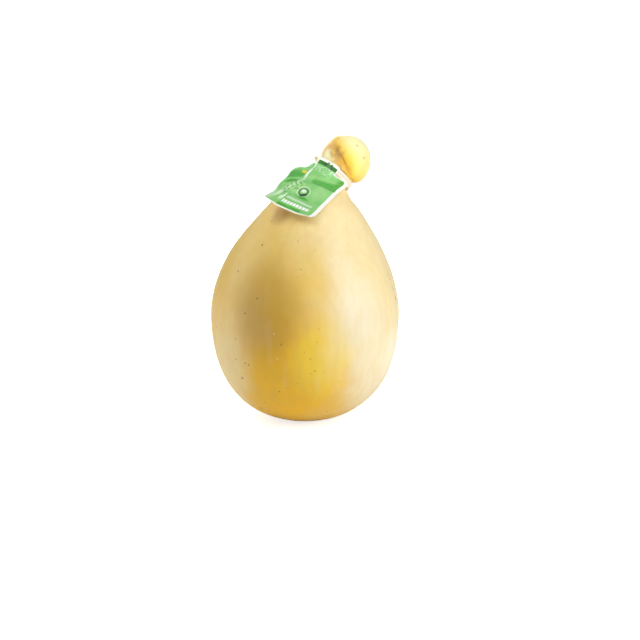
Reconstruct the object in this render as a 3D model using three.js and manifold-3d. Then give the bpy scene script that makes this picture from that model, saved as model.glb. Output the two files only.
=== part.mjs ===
// A caciocavallo: one pear-shaped stretched-curd cheese whose neck is tied with a two-turn
// cord below a folded head, with a film label looped over the cord.
// Millimetres, +Z up. The origin is the centre of the flat spot that the cheese stands on,
// -Y is the side that the label faces, and the head leans towards +X and +Y.
import * as THREE from 'three';
import { mergeVertices } from 'three/addons/utils/BufferGeometryUtils.js';
import Module from 'manifold-3d';

// Cheese body, a round section at every height
const bodyRadius = 80;
const widestHeight = 88;
const upperLength = 133; // from the widest ring to where the cone would close
const upperFullness = 1.02;
const lowerDepth = 90; // a little more than widestHeight, which leaves the flat spot
const lowerFullness = 2.4;
const shoulderHeight = 182; // above it the sections fan over towards the head
const leanAtShoulder = 7.6;
const leanPower = 2.6; // above 1, the lean comes mostly near the shoulder
const shoulderTurnEase = 1.4; // above 1, the sections turn late on their way to the neck
const shoulderPull = 0.6; // how strongly the sections go on as the body does, below 1 is less
const neckPull = 0.43; // how strongly they arrive as the neck does

// Neck, where the cord sits
const neckCentre = new THREE.Vector3(22.8, 14.7, 204.7);
const neckAxis = heading(45, 34);
const grooveRadius = 14.9;
const grooveHalf = 3.6;
const grooveWall = 1; // how far the groove's sloping sides reach along the neck
const neckUnderRadius = 17.8;
const neckUnderSlope = -0.8; // change of radius for each millimetre along the neck
const neckOverRadius = 17;
const lipTilt = 3; // degrees that the collar's lower lip tips down on the head side

// Head: a collar above the cord, a crease, and the rounded end
const headAxis = heading(65.6, 7.5);
const creaseDistance = 12.3;
const collarRadius = 18.9;
const collarSlope = 0.5;
const creaseRadius = 18.3;
const creaseHalf = 0.9;
const headRadius = 20.9;
const headHalfThickness = 19.2;
const headOffset = 6; // from the crease to the head's widest ring
const headRise = THREE.MathUtils.degToRad(7); // round the head's profile, from crease to skin

// Cord: two turns side by side, and a knot behind the neck
const cordDiameter = 2.7;
const cordRingRadius = 17.4;
const turnSpacing = 2.9;
const knotTurn = THREE.MathUtils.degToRad(150);
const knotRadius = 2.5;
const knotStandOff = 1.2;
const knotSpread = 1.1;
const tailLength = 7;

// Label: a leaf under a narrower strap that hooks over the cord
const filmThickness = 0.4;
const leafLeft = 23.8; // from the strap's middle line
const leafRight = 26;
const leafLength = 51;
const cornerLeft = 1.5;
const cornerRight = 5;
const strapWidth = 21;
const strapDrop = 4.2; // from the cord's middle down to the leaf
const frontPlyRadius = 19.6;
const backPlyRadius = 15.44;
const backPlyLength = 4; // below the fold, behind the cord
const labelTurn = THREE.MathUtils.degToRad(-32); // from the neck's front, to the left
const leafPitch = THREE.MathUtils.degToRad(17); // how far the leaf stands off the neck
const leafTwist = THREE.MathUtils.degToRad(5);
const leafBendLength = 3.4;
const leafFlattenLength = 9;
const leafBowRadius = 400; // the flattened leaf's own slight sideways bow
const wingFollow = 0.35; // how far the leaf beyond the strap's width keeps wrapping the neck

// Folds across the leaf: a line through (u, v) at a turn from the leaf's top edge, and the
// angle by which the film beyond it bends back, on an arc of the given radius
const foldRadius = 5;
const folds = [
  { u: -strapWidth / 2, v: 0, turn: THREE.MathUtils.degToRad(-50), angle: THREE.MathUtils.degToRad(42) },
  { u: strapWidth / 2, v: 0, turn: THREE.MathUtils.degToRad(38), angle: THREE.MathUtils.degToRad(-8) },
];

// A unit vector tipped from +Z by tilt degrees, towards the compass angle turn from +X
function heading(tilt, turn) {
  const polar = THREE.MathUtils.degToRad(tilt);
  const compass = THREE.MathUtils.degToRad(turn);
  const across = Math.sin(polar);
  return new THREE.Vector3(across * Math.cos(compass), across * Math.sin(compass), Math.cos(polar));
}

// Numbers from one value to another, both of them included, in equal steps
function steps(from, to, count) {
  return Array.from({ length: count + 1 }, (_, i) => THREE.MathUtils.lerp(from, to, i / count));
}

const worldUp = new THREE.Vector3(0, 0, 1);

// The shortest turn that takes +Z to an axis keeps the rings of a loft from twisting
function turnTo(axis) {
  return new THREE.Quaternion().setFromUnitVectors(worldUp, axis);
}

function between(a, b, t) {
  const angle = a.angleTo(b);
  if (angle < 1e-6) return a.clone();
  const from = a.clone().multiplyScalar(Math.sin((1 - t) * angle) / Math.sin(angle));
  return from.addScaledVector(b, Math.sin(t * angle) / Math.sin(angle));
}

function bodyRadiusAt(z) {
  if (z >= widestHeight) {
    const rise = ((z - widestHeight) / upperLength) ** upperFullness;
    return bodyRadius * Math.cos((Math.PI / 2) * rise);
  }
  const drop = ((widestHeight - z) / lowerDepth) ** lowerFullness;
  return bodyRadius * (1 - drop) ** (1 / lowerFullness);
}

// The upright body leans gently towards the side that the head bends to
function bodyCentreAt(z) {
  const rise = Math.max(0, z - widestHeight) / (shoulderHeight - widestHeight);
  const side = neckCentre.clone().setZ(0).normalize();
  return side.multiplyScalar(leanAtShoulder * rise ** leanPower).setZ(z);
}

// A section's way and slope say how its centre moves and its radius changes over one
// millimetre, which is how a neighbouring stretch joins it without a kink
function bodySection(z) {
  const [below, above] = [z - 0.5, z + 0.5];
  return {
    centre: bodyCentreAt(z),
    axis: worldUp,
    radius: bodyRadiusAt(z),
    way: bodyCentreAt(above).sub(bodyCentreAt(below)),
    slope: bodyRadiusAt(above) - bodyRadiusAt(below),
  };
}

function bodySections() {
  const lowerRings = 10;
  const upperRings = 9;
  const lower = steps(0, Math.PI / 2, lowerRings).map((angle) => widestHeight * (1 - Math.cos(angle)));
  const upper = steps(widestHeight, shoulderHeight, upperRings).slice(1);
  return [...lower, ...upper].map(bodySection);
}

// A smooth change from a to b that leaves at the rate startRate and arrives at endRate
function hermite(a, b, startRate, endRate, t) {
  const [t2, t3] = [t * t, t * t * t];
  const places = (2 * t3 - 3 * t2 + 1) * a + (3 * t2 - 2 * t3) * b;
  return places + (t3 - 2 * t2 + t) * startRate + (t3 - t2) * endRate;
}

// Sections that turn and shrink from one section to the next. Leave and arrive say how
// strongly they keep to the way and slope of the first and of the last
function fan(from, to, count, turnEase, leave = 1, arrive = 1) {
  const length = from.centre.distanceTo(to.centre);
  const [out, home] = [length * leave, length * arrive];
  return steps(0, 1, count).slice(1).map((t) => {
    const centre = new THREE.Vector3();
    for (const side of ['x', 'y', 'z']) {
      const rates = [from.way[side] * out, to.way[side] * home];
      centre[side] = hermite(from.centre[side], to.centre[side], ...rates, t);
    }
    const axis = between(from.axis, to.axis, t ** turnEase);
    const radius = hermite(from.radius, to.radius, from.slope * out, to.slope * home, t);
    return { centre, axis, radius };
  });
}

function alongNeck(distance) {
  return neckCentre.clone().addScaledVector(neckAxis, distance);
}

function headSections(creaseCentre) {
  const rings = 11;
  const middle = creaseCentre.clone().addScaledVector(headAxis, headOffset);
  const first = headRise - Math.asin(headOffset / headHalfThickness);
  const sections = steps(first, Math.PI / 2, rings).slice(0, -1).map((angle) => ({
    centre: middle.clone().addScaledVector(headAxis, headHalfThickness * Math.sin(angle)),
    axis: headAxis,
    radius: headRadius * Math.cos(angle),
  }));
  return { sections, tip: middle.addScaledVector(headAxis, headHalfThickness) };
}

// Round sections joined into one closed skin, flat at the first and closed on a tip
function loft(sections, tip, segments) {
  const positions = [];
  const indices = [];
  for (const { centre, axis, radius } of sections) {
    const turn = turnTo(axis);
    for (let j = 0; j < segments; j++) {
      const angle = (2 * Math.PI * j) / segments;
      const point = new THREE.Vector3(radius * Math.cos(angle), radius * Math.sin(angle), 0);
      positions.push(...point.applyQuaternion(turn).add(centre));
    }
  }
  const first = positions.push(...sections[0].centre) / 3 - 1;
  const last = positions.push(...tip) / 3 - 1;
  const top = (sections.length - 1) * segments;
  for (let j = 0; j < segments; j++) {
    const next = (j + 1) % segments;
    indices.push(first, next, j);
    indices.push(last, top + j, top + next);
    for (let i = 0; i < sections.length - 1; i++) {
      const low = i * segments;
      const high = low + segments;
      indices.push(low + j, low + next, high + next);
      indices.push(low + j, high + next, high + j);
    }
  }
  const geometry = new THREE.BufferGeometry();
  geometry.setAttribute('position', new THREE.Float32BufferAttribute(positions, 3));
  geometry.setIndex(indices);
  return geometry;
}

function neckSection(distance, radius, axis, slope) {
  return { centre: alongNeck(distance), axis, radius, way: axis, slope };
}

function cheeseGeometry() {
  const segments = 56;
  const body = bodySections();
  const edge = grooveHalf + grooveWall;
  const bend = THREE.MathUtils.radToDeg(neckAxis.angleTo(headAxis));
  const under = neckSection(-edge, neckUnderRadius, neckAxis, neckUnderSlope);
  const lip = neckSection(edge, neckOverRadius, between(neckAxis, headAxis, lipTilt / bend), collarSlope);
  const collar = neckSection(creaseDistance, collarRadius, headAxis, 0);
  const creaseCentre = collar.centre.clone().addScaledVector(headAxis, creaseHalf);
  const head = headSections(collar.centre);
  const sections = [
    ...body,
    ...fan(body.at(-1), under, 9, shoulderTurnEase, shoulderPull, neckPull),
    neckSection(-grooveHalf, grooveRadius, neckAxis),
    neckSection(grooveHalf, grooveRadius, neckAxis),
    lip,
    ...fan(lip, collar, 6, 1),
    { centre: creaseCentre, axis: headAxis, radius: creaseRadius },
    ...head.sections,
  ];
  return loft(sections, head.tip, segments);
}

// The neck's own directions: its front faces -Y, and its right is +X turned with the neck
const neckFront = new THREE.Vector3(0, -1, 0).projectOnPlane(neckAxis).normalize();
const neckRight = new THREE.Vector3().crossVectors(neckAxis, neckFront);

// Direction a turned towards direction b, where the two are square to each other
function turned(a, b, angle) {
  return a.clone().multiplyScalar(Math.cos(angle)).addScaledVector(b, Math.sin(angle));
}

function neckRadial(angle) {
  return turned(neckFront, neckRight, angle);
}

function neckPoint(angle, radius, distance) {
  return alongNeck(distance).addScaledVector(neckRadial(angle), radius);
}

// Two flat turns with a short step between them under the knot
class CordTurns extends THREE.Curve {
  getPoint(t) {
    const stepWidth = 0.07;
    const side = THREE.MathUtils.smoothstep(t, 0.5 - stepWidth, 0.5 + stepWidth) - 0.5;
    return neckPoint(knotTurn + 4 * Math.PI * t, cordRingRadius, turnSpacing * side);
  }
}

function solid(wasm, geometry) {
  const bare = new THREE.BufferGeometry();
  const source = geometry.index ? geometry.toNonIndexed() : geometry;
  bare.setAttribute('position', source.getAttribute('position').clone());
  const merged = mergeVertices(bare, 1e-4);
  const vertProperties = new Float32Array(merged.getAttribute('position').array);
  const triVerts = new Uint32Array(merged.index.array);
  return new wasm.Manifold(new wasm.Mesh({ numProp: 3, vertProperties, triVerts }));
}

function fromSolid(body) {
  const mesh = body.getMesh();
  const geometry = new THREE.BufferGeometry();
  geometry.setAttribute('position', new THREE.BufferAttribute(new Float32Array(mesh.vertProperties), 3));
  geometry.setIndex(new THREE.BufferAttribute(new Uint32Array(mesh.triVerts), 1));
  return geometry;
}

function cordSection(sides) {
  const shape = new THREE.Shape();
  for (let i = 0; i < sides; i++) {
    const angle = (2 * Math.PI * (i + 0.5)) / sides;
    const [x, y] = [(cordDiameter / 2) * Math.cos(angle), (cordDiameter / 2) * Math.sin(angle)];
    if (i === 0) shape.moveTo(x, y);
    else shape.lineTo(x, y);
  }
  shape.closePath();
  return shape;
}

function tube(curve, count) {
  const options = { steps: count, extrudePath: curve, bevelEnabled: false };
  return new THREE.ExtrudeGeometry(cordSection(8), options);
}

// Two crossed loops pulled tight, with a short cut tail above and below
function knotGeometries() {
  const centre = neckPoint(knotTurn, cordRingRadius + knotStandOff, 0);
  const lumps = [-1, 1].map((side) => {
    const lump = new THREE.SphereGeometry(knotRadius, 12, 8);
    lump.scale(1, 0.8, 0.75);
    lump.rotateX(side * 0.5);
    lump.applyQuaternion(turnTo(neckAxis));
    return lump.translate(...centre.clone().addScaledVector(neckAxis, side * knotSpread));
  });
  const tails = [-1, 1].map((side) => {
    const end = centre.clone().addScaledVector(neckRadial(knotTurn + side * 0.5), tailLength * 0.7);
    end.addScaledVector(neckAxis, side * tailLength * 0.5);
    const bend = centre.clone().addScaledVector(neckRadial(knotTurn), 2).addScaledVector(neckAxis, side);
    return tube(new THREE.QuadraticBezierCurve3(centre, bend, end), 4);
  });
  return [...lumps, ...tails];
}

async function cordGeometry() {
  const wasm = await Module();
  wasm.setup();
  const pieces = [tube(new CordTurns(), 76), ...knotGeometries()];
  return fromSolid(pieces.map((piece) => solid(wasm, piece)).reduce((all, piece) => all.add(piece)));
}

// The strap's path in the neck's radial plane, from the leaf up the front, over the cord
// and down behind it; length runs back from the leaf and comes out as radius and distance
function strapPath(length) {
  const turnRadius = (frontPlyRadius - backPlyRadius) / 2;
  const turnHeight = turnSpacing / 2;
  const front = strapDrop + turnHeight;
  if (length <= front) return [frontPlyRadius, length - strapDrop];
  const around = length - front;
  if (around < Math.PI * turnRadius) {
    const angle = around / turnRadius;
    return [frontPlyRadius - turnRadius * (1 - Math.cos(angle)), turnHeight + turnRadius * Math.sin(angle)];
  }
  return [backPlyRadius, turnHeight - (around - Math.PI * turnRadius)];
}

function strapPoint(u, length) {
  const [radius, distance] = strapPath(length);
  return neckPoint(labelTurn + u / frontPlyRadius, radius, distance);
}

// Bends a point of the flat leaf, with height w above it, round one fold
function bend([u, v, w], fold) {
  const along = [Math.cos(fold.turn), Math.sin(fold.turn)];
  const s = (u - fold.u) * along[0] + (v - fold.v) * along[1];
  const q = (u - fold.u) * along[1] - (v - fold.v) * along[0];
  if (q <= 0) return [u, v, w];
  const angle = Math.min(q / foldRadius, Math.abs(fold.angle));
  const rest = q - foldRadius * angle;
  const side = Math.sign(fold.angle);
  const reach = foldRadius * Math.sin(angle) + rest * Math.cos(angle) + side * w * Math.sin(angle);
  const rise = w * Math.cos(angle) - side * (foldRadius * (1 - Math.cos(angle)) + rest * Math.sin(angle));
  return [fold.u + s * along[0] + reach * along[1], fold.v + s * along[1] - reach * along[0], rise];
}

// The leaf leaves the strap along the neck, swings out by leafPitch, and flattens sideways
function leafPoint(flatU, flatV) {
  const [u, v, w] = folds.reduce(bend, [flatU, flatV, 0]);
  const out = neckRadial(labelTurn);
  const across = neckRadial(labelTurn + Math.PI / 2);
  const down = neckAxis.clone().negate();
  const centre = neckPoint(labelTurn, frontPlyRadius, -strapDrop);
  const bendRadius = leafBendLength / leafPitch;
  const bent = THREE.MathUtils.clamp(v, 0, leafBendLength);
  const pitch = bent / bendRadius;
  const twist = leafTwist * THREE.MathUtils.smoothstep(v, -leafBendLength, leafBendLength);
  const pitchedOut = turned(out, down, -pitch);
  const acrossHere = turned(across, pitchedOut, twist);
  const outHere = turned(pitchedOut, across, -twist);
  centre.addScaledVector(down, bendRadius * Math.sin(pitch));
  centre.addScaledVector(out, bendRadius * (1 - Math.cos(pitch)));
  centre.addScaledVector(turned(down, out, pitch), v - bent);
  const curve = Math.exp(-((v / leafFlattenLength) ** 2)) / frontPlyRadius + 1 / leafBowRadius;
  const wrapped = Math.min(Math.abs(u), strapWidth / 2);
  const wing = Math.abs(u) - wrapped;
  const angle = wrapped * curve;
  const reach = Math.sin(angle) / curve + wing * Math.cos(angle * wingFollow);
  const fall = (1 - Math.cos(angle)) / curve + wing * Math.sin(angle * wingFollow);
  return centre.addScaledVector(acrossHere, Math.sign(u) * reach).addScaledVector(outHere, w - fall);
}

// Rounds the leaf's corners by drawing its outer columns in near its top and bottom edges
function drawnIn(v, corner) {
  const missing = corner - THREE.MathUtils.clamp(Math.min(v, leafLength - v), 0, corner);
  return corner - Math.sqrt(corner ** 2 - missing ** 2);
}

// A grid of film points: rows below zero are the strap, and only its middle columns exist
function labelGeometry() {
  const half = strapWidth / 2;
  const strapColumns = 8;
  const wingColumns = 4;
  const columns = [
    ...steps(-leafLeft, -half, wingColumns).slice(0, -1),
    ...steps(-half, half, strapColumns),
    ...steps(half, leafRight, wingColumns).slice(1),
  ];
  const foldLength = (Math.PI * (frontPlyRadius - backPlyRadius)) / 2;
  const front = strapDrop + turnSpacing / 2;
  const strapRows = [
    ...steps(-(front + foldLength + backPlyLength), -(front + foldLength), 2).slice(0, -1),
    ...steps(-(front + foldLength), -front, 7),
    ...steps(-front, 0, 3).slice(1, -1),
  ];
  const cornerRows = steps(0, Math.PI / 2, 5).map((angle) => cornerRight * (1 - Math.cos(angle)));
  const leafRows = [
    ...cornerRows,
    ...steps(cornerRight, leafLength - cornerRight, 10).slice(1, -1),
    ...cornerRows.map((v) => leafLength - v).reverse(),
  ];
  const rows = [...strapRows, ...leafRows];
  const place = (u, v) => {
    if (v < 0) return strapPoint(u, -v);
    const wing = Math.max(0, Math.abs(u) - half);
    const [edge, corner] = u < 0 ? [leafLeft, cornerLeft] : [leafRight, cornerRight];
    const inward = (drawnIn(v, corner) * wing) / (edge - half);
    return leafPoint(u - Math.sign(u) * inward, v);
  };
  const filled = (i, j) => {
    if (i < 0 || j < 0 || i >= rows.length - 1 || j >= columns.length - 1) return false;
    return i >= strapRows.length || (j >= wingColumns && j < wingColumns + strapColumns);
  };
  return film(rows, columns, place, filled);
}

// Thickens the filled cells of a grid of points into one closed sheet
function film(rows, columns, place, filled) {
  const positions = [];
  const indices = [];
  const width = columns.length;
  const delta = 0.05;
  for (const v of rows) {
    for (const u of columns) {
      const along = place(u + delta, v).sub(place(u - delta, v));
      const down = place(u, v + delta).sub(place(u, v - delta));
      const normal = down.cross(along).normalize();
      for (const side of [0.5, -0.5]) {
        positions.push(...place(u, v).addScaledVector(normal, side * filmThickness));
      }
    }
  }
  const front = (i, j) => 2 * (i * width + j);
  const back = (i, j) => front(i, j) + 1;
  const quad = (a, b, c, d) => indices.push(a, b, c, a, c, d);
  rows.forEach((v, i) => {
    columns.forEach((u, j) => {
      if (!filled(i, j)) return;
      quad(front(i, j), front(i + 1, j), front(i + 1, j + 1), front(i, j + 1));
      quad(back(i, j), back(i, j + 1), back(i + 1, j + 1), back(i + 1, j));
      if (!filled(i - 1, j)) quad(front(i, j), front(i, j + 1), back(i, j + 1), back(i, j));
      if (!filled(i + 1, j)) quad(front(i + 1, j + 1), front(i + 1, j), back(i + 1, j), back(i + 1, j + 1));
      if (!filled(i, j - 1)) quad(front(i + 1, j), front(i, j), back(i, j), back(i + 1, j));
      if (!filled(i, j + 1)) quad(front(i, j + 1), front(i + 1, j + 1), back(i + 1, j + 1), back(i, j + 1));
    });
  });
  const grid = new THREE.BufferGeometry();
  grid.setAttribute('position', new THREE.Float32BufferAttribute(positions, 3));
  grid.setIndex(indices);
  const merged = new THREE.BufferGeometry();
  merged.setAttribute('position', grid.toNonIndexed().getAttribute('position'));
  return mergeVertices(merged, 1e-4);
}

function piece(name, geometry, color, roughness) {
  geometry.computeVertexNormals();
  const mesh = new THREE.Mesh(geometry, new THREE.MeshStandardMaterial({ color, roughness, metalness: 0 }));
  mesh.name = name;
  return mesh;
}

const group = new THREE.Group();
group.add(piece('cheese', cheeseGeometry(), '#efd590', 0.45));
group.add(piece('neck_cord', await cordGeometry(), '#d9c9a0', 0.85));
group.add(piece('label', labelGeometry(), '#6fc45e', 0.3));

export default group;
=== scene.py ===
# A whole caciocavallo: the pear-shaped cheese with its tied neck and folded head,
# the twine in the neck's groove, and the printed film label looped over the twine.
import math
import random
import bpy
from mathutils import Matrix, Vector, noise


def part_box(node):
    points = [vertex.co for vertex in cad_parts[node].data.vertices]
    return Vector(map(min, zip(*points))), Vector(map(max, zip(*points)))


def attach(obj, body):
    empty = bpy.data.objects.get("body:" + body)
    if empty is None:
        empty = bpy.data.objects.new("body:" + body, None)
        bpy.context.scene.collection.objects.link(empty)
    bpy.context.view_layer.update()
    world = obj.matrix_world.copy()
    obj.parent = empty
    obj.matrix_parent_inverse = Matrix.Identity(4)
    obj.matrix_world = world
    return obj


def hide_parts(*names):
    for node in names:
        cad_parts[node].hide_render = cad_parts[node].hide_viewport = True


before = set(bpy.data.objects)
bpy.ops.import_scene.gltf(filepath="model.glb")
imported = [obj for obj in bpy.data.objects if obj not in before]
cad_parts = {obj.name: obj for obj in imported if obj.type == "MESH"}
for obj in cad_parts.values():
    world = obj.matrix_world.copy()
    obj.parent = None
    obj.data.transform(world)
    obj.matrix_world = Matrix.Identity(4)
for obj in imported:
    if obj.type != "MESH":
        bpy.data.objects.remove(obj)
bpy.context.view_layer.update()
bpy.ops.object.select_all(action="DESELECT")

# The frame gives the scale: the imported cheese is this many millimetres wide
cheeseWidth = 160
cheeseLow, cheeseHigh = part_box("cheese")
mm = (cheeseHigh.x - cheeseLow.x) / cheeseWidth
base = Vector(((cheeseLow.x + cheeseHigh.x) / 2, (cheeseLow.y + cheeseHigh.y) / 2, cheeseLow.z))
print("frame loaded, one millimetre is", round(mm, 6), "m")


def editMode():
    bpy.ops.object.mode_set(mode="EDIT")


def objectMode():
    bpy.ops.object.mode_set(mode="OBJECT")


def selectOnly(piece):
    bpy.ops.object.select_all(action="DESELECT")
    piece.select_set(True)
    bpy.context.view_layer.objects.active = piece


def applyModifiers(piece):
    selectOnly(piece)
    for modifier in list(piece.modifiers):
        bpy.ops.object.modifier_apply(modifier=modifier.name)


def subdivide(piece, levels):
    skin = piece.modifiers.new("skin", "SUBSURF")
    skin.levels = skin.render_levels = levels


def settle(piece):
    selectOnly(piece)
    bpy.ops.object.transform_apply(location=True, rotation=True, scale=True)


# A unit vector tipped from straight up by tilt degrees, towards the compass angle turn from +X
def heading(tilt, turn):
    tilt, turn = math.radians(tilt), math.radians(turn)
    return Vector((math.sin(tilt) * math.cos(turn), math.sin(tilt) * math.sin(turn), math.cos(tilt)))


def between(low, high, share):
    return low + (high - low) * share


def steps(low, high, count):
    return [between(low, high, i / count) for i in range(count + 1)]


def smooth(value, low, high):
    share = min(1, max(0, (value - low) / (high - low)))
    return share * share * (3 - 2 * share)


# 1 at the middle of a hump and falling off on both sides
def hump(value, middle, width):
    return math.exp(-((value - middle) / width) ** 2)


# Inputs are numbers, colours or the sockets they come from
def setInputs(node, inputs):
    for key, value in inputs.items():
        if isinstance(value, bpy.types.NodeSocket):
            node.id_data.links.new(value, node.inputs[key])
        else:
            node.inputs[key].default_value = value
    return node


def addNode(tree, kind, inputs=None, **settings):
    made = tree.nodes.new("ShaderNode" + kind)
    for name, value in settings.items():
        setattr(made, name, value)
    return setInputs(made, inputs or {})


# The node tree that a value lives in: one of the values at least is a socket
def treeOf(*values):
    return next(value.id_data for value in values if isinstance(value, bpy.types.NodeSocket))


def compute(operation, first, second=0.0, clamp=False):
    inputs = {0: first, 1: second}
    return addNode(treeOf(first, second), "Math", inputs, operation=operation, use_clamp=clamp).outputs[0]


def plus(first, second):
    return compute("ADD", first, second)


def minus(first, second):
    return compute("SUBTRACT", first, second)


def times(first, *others):
    for other in others:
        first = compute("MULTIPLY", first, other)
    return first


def vectors(operation, first, second):
    return addNode(treeOf(first, second), "VectorMath", {0: first, 1: second}, operation=operation).outputs[0]


def distance(first, second):
    return addNode(treeOf(first), "VectorMath", {0: first, 1: second}, operation="DISTANCE").outputs["Value"]


def stretched(place, scale):
    return addNode(treeOf(place), "Mapping", {"Vector": place, "Scale": scale}).outputs[0]


def ramp(value, low, high, toLow=0.0, toHigh=1.0):
    inputs = {0: value, 1: low, 2: high, 3: toLow, 4: toHigh}
    return addNode(treeOf(value), "MapRange", inputs, interpolation_type="SMOOTHSTEP").outputs[0]


def cloudy(place, scale, detail=3.0, roughness=0.5, output="Fac"):
    inputs = {"Vector": place, "Scale": scale, "Detail": detail, "Roughness": roughness}
    return addNode(treeOf(place), "TexNoise", inputs).outputs[output]


# A place moved about by a noise, at most by half of reach
def curledBy(place, noisePlace, scale, detail, reach):
    curl = vectors("SUBTRACT", cloudy(noisePlace, scale, detail, output="Color"), (0.5, 0.5, 0.5))
    return vectors("ADD", place, vectors("MULTIPLY", curl, (reach, reach, reach)))


def blend(share, first, second):
    return addNode(treeOf(share), "Mix", {0: share, 6: first, 7: second}, data_type="RGBA").outputs[2]


def colourRamp(value, stops):
    made = addNode(treeOf(value), "ValToRGB", {0: value})
    elements = made.color_ramp.elements
    elements[0].position, elements[0].color = stops[0]
    elements[1].position, elements[1].color = stops[-1]
    for position, colour in stops[1:-1]:
        elements.new(position).color = colour
    return made.outputs[0]


def bumped(strength, depth, height):
    inputs = {"Strength": strength, "Distance": depth * mm, "Height": height}
    return addNode(treeOf(height), "Bump", inputs).outputs[0]


def newMaterial(name):
    material = bpy.data.materials.new(name)
    material.use_nodes = True
    return material, material.node_tree, material.node_tree.nodes["Principled BSDF"]


def objectPlace(tree):
    return addNode(tree, "TexCoord").outputs["Object"]


def dress(piece, *materials):
    piece.data.materials.clear()
    for material in materials:
        piece.data.materials.append(material)


def newGroup(name, inputs, output):
    tree = bpy.data.node_groups.new(name, "ShaderNodeTree")
    for label, value in inputs.items():
        kind = "NodeSocketVector" if value is None else "NodeSocketFloat"
        socket = tree.interface.new_socket(label, in_out="INPUT", socket_type=kind)
        if value is not None:
            socket.default_value = value
    tree.interface.new_socket(output, in_out="OUTPUT", socket_type="NodeSocketFloat")
    return tree, tree.nodes.new("NodeGroupInput").outputs, tree.nodes.new("NodeGroupOutput")


def useGroup(group, inputs):
    return setInputs(addNode(treeOf(*inputs.values()), "Group", node_tree=group), inputs).outputs[0]


# Soft blotches from 0 to 1, about half of the surface
def makeMottle():
    tree, given, result = newGroup("softMottle", {"Vector": None, "Scale": 30.0, "Softness": 0.15}, "Mask")
    cloud = cloudy(given["Vector"], given["Scale"], 4.0)
    low, high = minus(0.5, given["Softness"]), plus(0.5, given["Softness"])
    setInputs(result, {0: ramp(cloud, low, high)})
    return tree


# Small round spots, each cell of the pattern holding one at most: 1 at a spot's middle
def makeSpots():
    inputs = {"Vector": None, "Scale": 90.0, "Radius": 0.08, "Share": 0.5}
    tree, given, result = newGroup("scatteredSpots", inputs, "Mask")
    cells = addNode(tree, "TexVoronoi", {"Vector": given["Vector"], "Scale": given["Scale"]})
    chance = addNode(tree, "SeparateColor", {0: cells.outputs["Color"]})
    size = times(given["Radius"], ramp(chance.outputs[1], 0.0, 1.0, 0.4, 1.3))
    near = compute("SUBTRACT", 1.0, compute("DIVIDE", cells.outputs["Distance"], size), clamp=True)
    picked = compute("LESS_THAN", chance.outputs[0], given["Share"])
    setInputs(result, {0: times(ramp(near, 0.0, 0.6), picked)})
    return tree


softMottle = makeMottle()
scatteredSpots = makeSpots()


def mottled(place, scale, softness):
    return useGroup(softMottle, {"Vector": place, "Scale": scale, "Softness": softness})


def spotted(place, scale, radius, share):
    return useGroup(scatteredSpots, {"Vector": place, "Scale": scale, "Radius": radius, "Share": share})


# Camera, lights and floor. Places are millimetres from the middle of the base, here and below
studio = {
    "target": (12.7, 0, 82.4),
    "cameraDistance": 1200, "cameraRise": 16, "lens": 79.2, "sensor": 36,
    "clip": (0.01, 100),  # metres
    "middle": (0, 0, 110),  # what the panels point at
    "panelDistance": 1000,
    "panels": (  # name, turn, rise, size, watts, and for one its spread and what it points at
        ("right", 58, 22, (480, 900), 6.7), ("rightHigh", 50, 54, (260, 260), 1.9),
        ("front", -24, 56, (360, 360), 2.0), ("leftHigh", -128, 40, (900, 800), 3.0),
        ("left", -100, 10, (600, 700), 2.9), ("behind", 180, 14, (500, 450), 6.0),
        ("neck", -38, 16, (80, 80), 0.008, 6, (18, 0, 214)),  # a narrow lamp for the neck alone
    ),
    "ambient": 0.10,
    "floorSize": 24000,
    "floorGlow": 0.72,  # what the floor near the cheese adds to be white
    "glowFull": (150, 700),  # where the glow starts to grow, and where it is full
}


# Turns count from the camera's side towards the right, rises from the horizon
def around(target, turn, rise, distance):
    turn, rise = math.radians(turn), math.radians(rise)
    flat = math.cos(rise)
    return target + Vector((math.sin(turn) * flat, -math.cos(turn) * flat, math.sin(rise))) * distance * mm


def aimAt(thing, spot):
    thing.rotation_mode = "QUATERNION"
    thing.rotation_quaternion = (thing.location - spot).to_track_quat("Z", "Y")


def makeCamera():
    target = base + Vector(studio["target"]) * mm
    bpy.ops.object.camera_add(location=around(target, 0, studio["cameraRise"], studio["cameraDistance"]))
    camera = bpy.context.object
    camera.name = "studioCamera"
    camera.data.lens = studio["lens"]
    camera.data.sensor_width = studio["sensor"]
    camera.data.clip_start, camera.data.clip_end = studio["clip"]
    aimAt(camera, target)
    bpy.context.scene.camera = camera


def makePanel(name, turn, rise, size, watts, spread=180, middle=studio["middle"]):
    middle = base + Vector(middle) * mm
    bpy.ops.object.light_add(type="AREA", location=around(middle, turn, rise, studio["panelDistance"]))
    light = bpy.context.object
    light.name = name + "Panel"
    light.data.shape = "RECTANGLE"
    light.data.size, light.data.size_y = size[0] * mm, size[1] * mm
    light.data.energy = watts
    light.data.spread = math.radians(spread)
    light.visible_camera = False
    aimAt(light, middle)


# The room is dim for the lighting and white for the camera
def makeWorld():
    world = bpy.data.worlds.new("studioWorld")
    bpy.context.scene.world = world
    world.use_nodes = True
    tree = world.node_tree
    lit = setInputs(tree.nodes["Background"], {"Color": (1, 1, 1, 1), "Strength": studio["ambient"]})
    seen = addNode(tree, "Background", {"Color": (1, 1, 1, 1)})
    toCamera = addNode(tree, "LightPath").outputs["Is Camera Ray"]
    mixed = addNode(tree, "MixShader", {"Fac": toCamera, 1: lit.outputs[0], 2: seen.outputs[0]})
    setInputs(tree.nodes["World Output"], {"Surface": mixed.outputs[0]})


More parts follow.
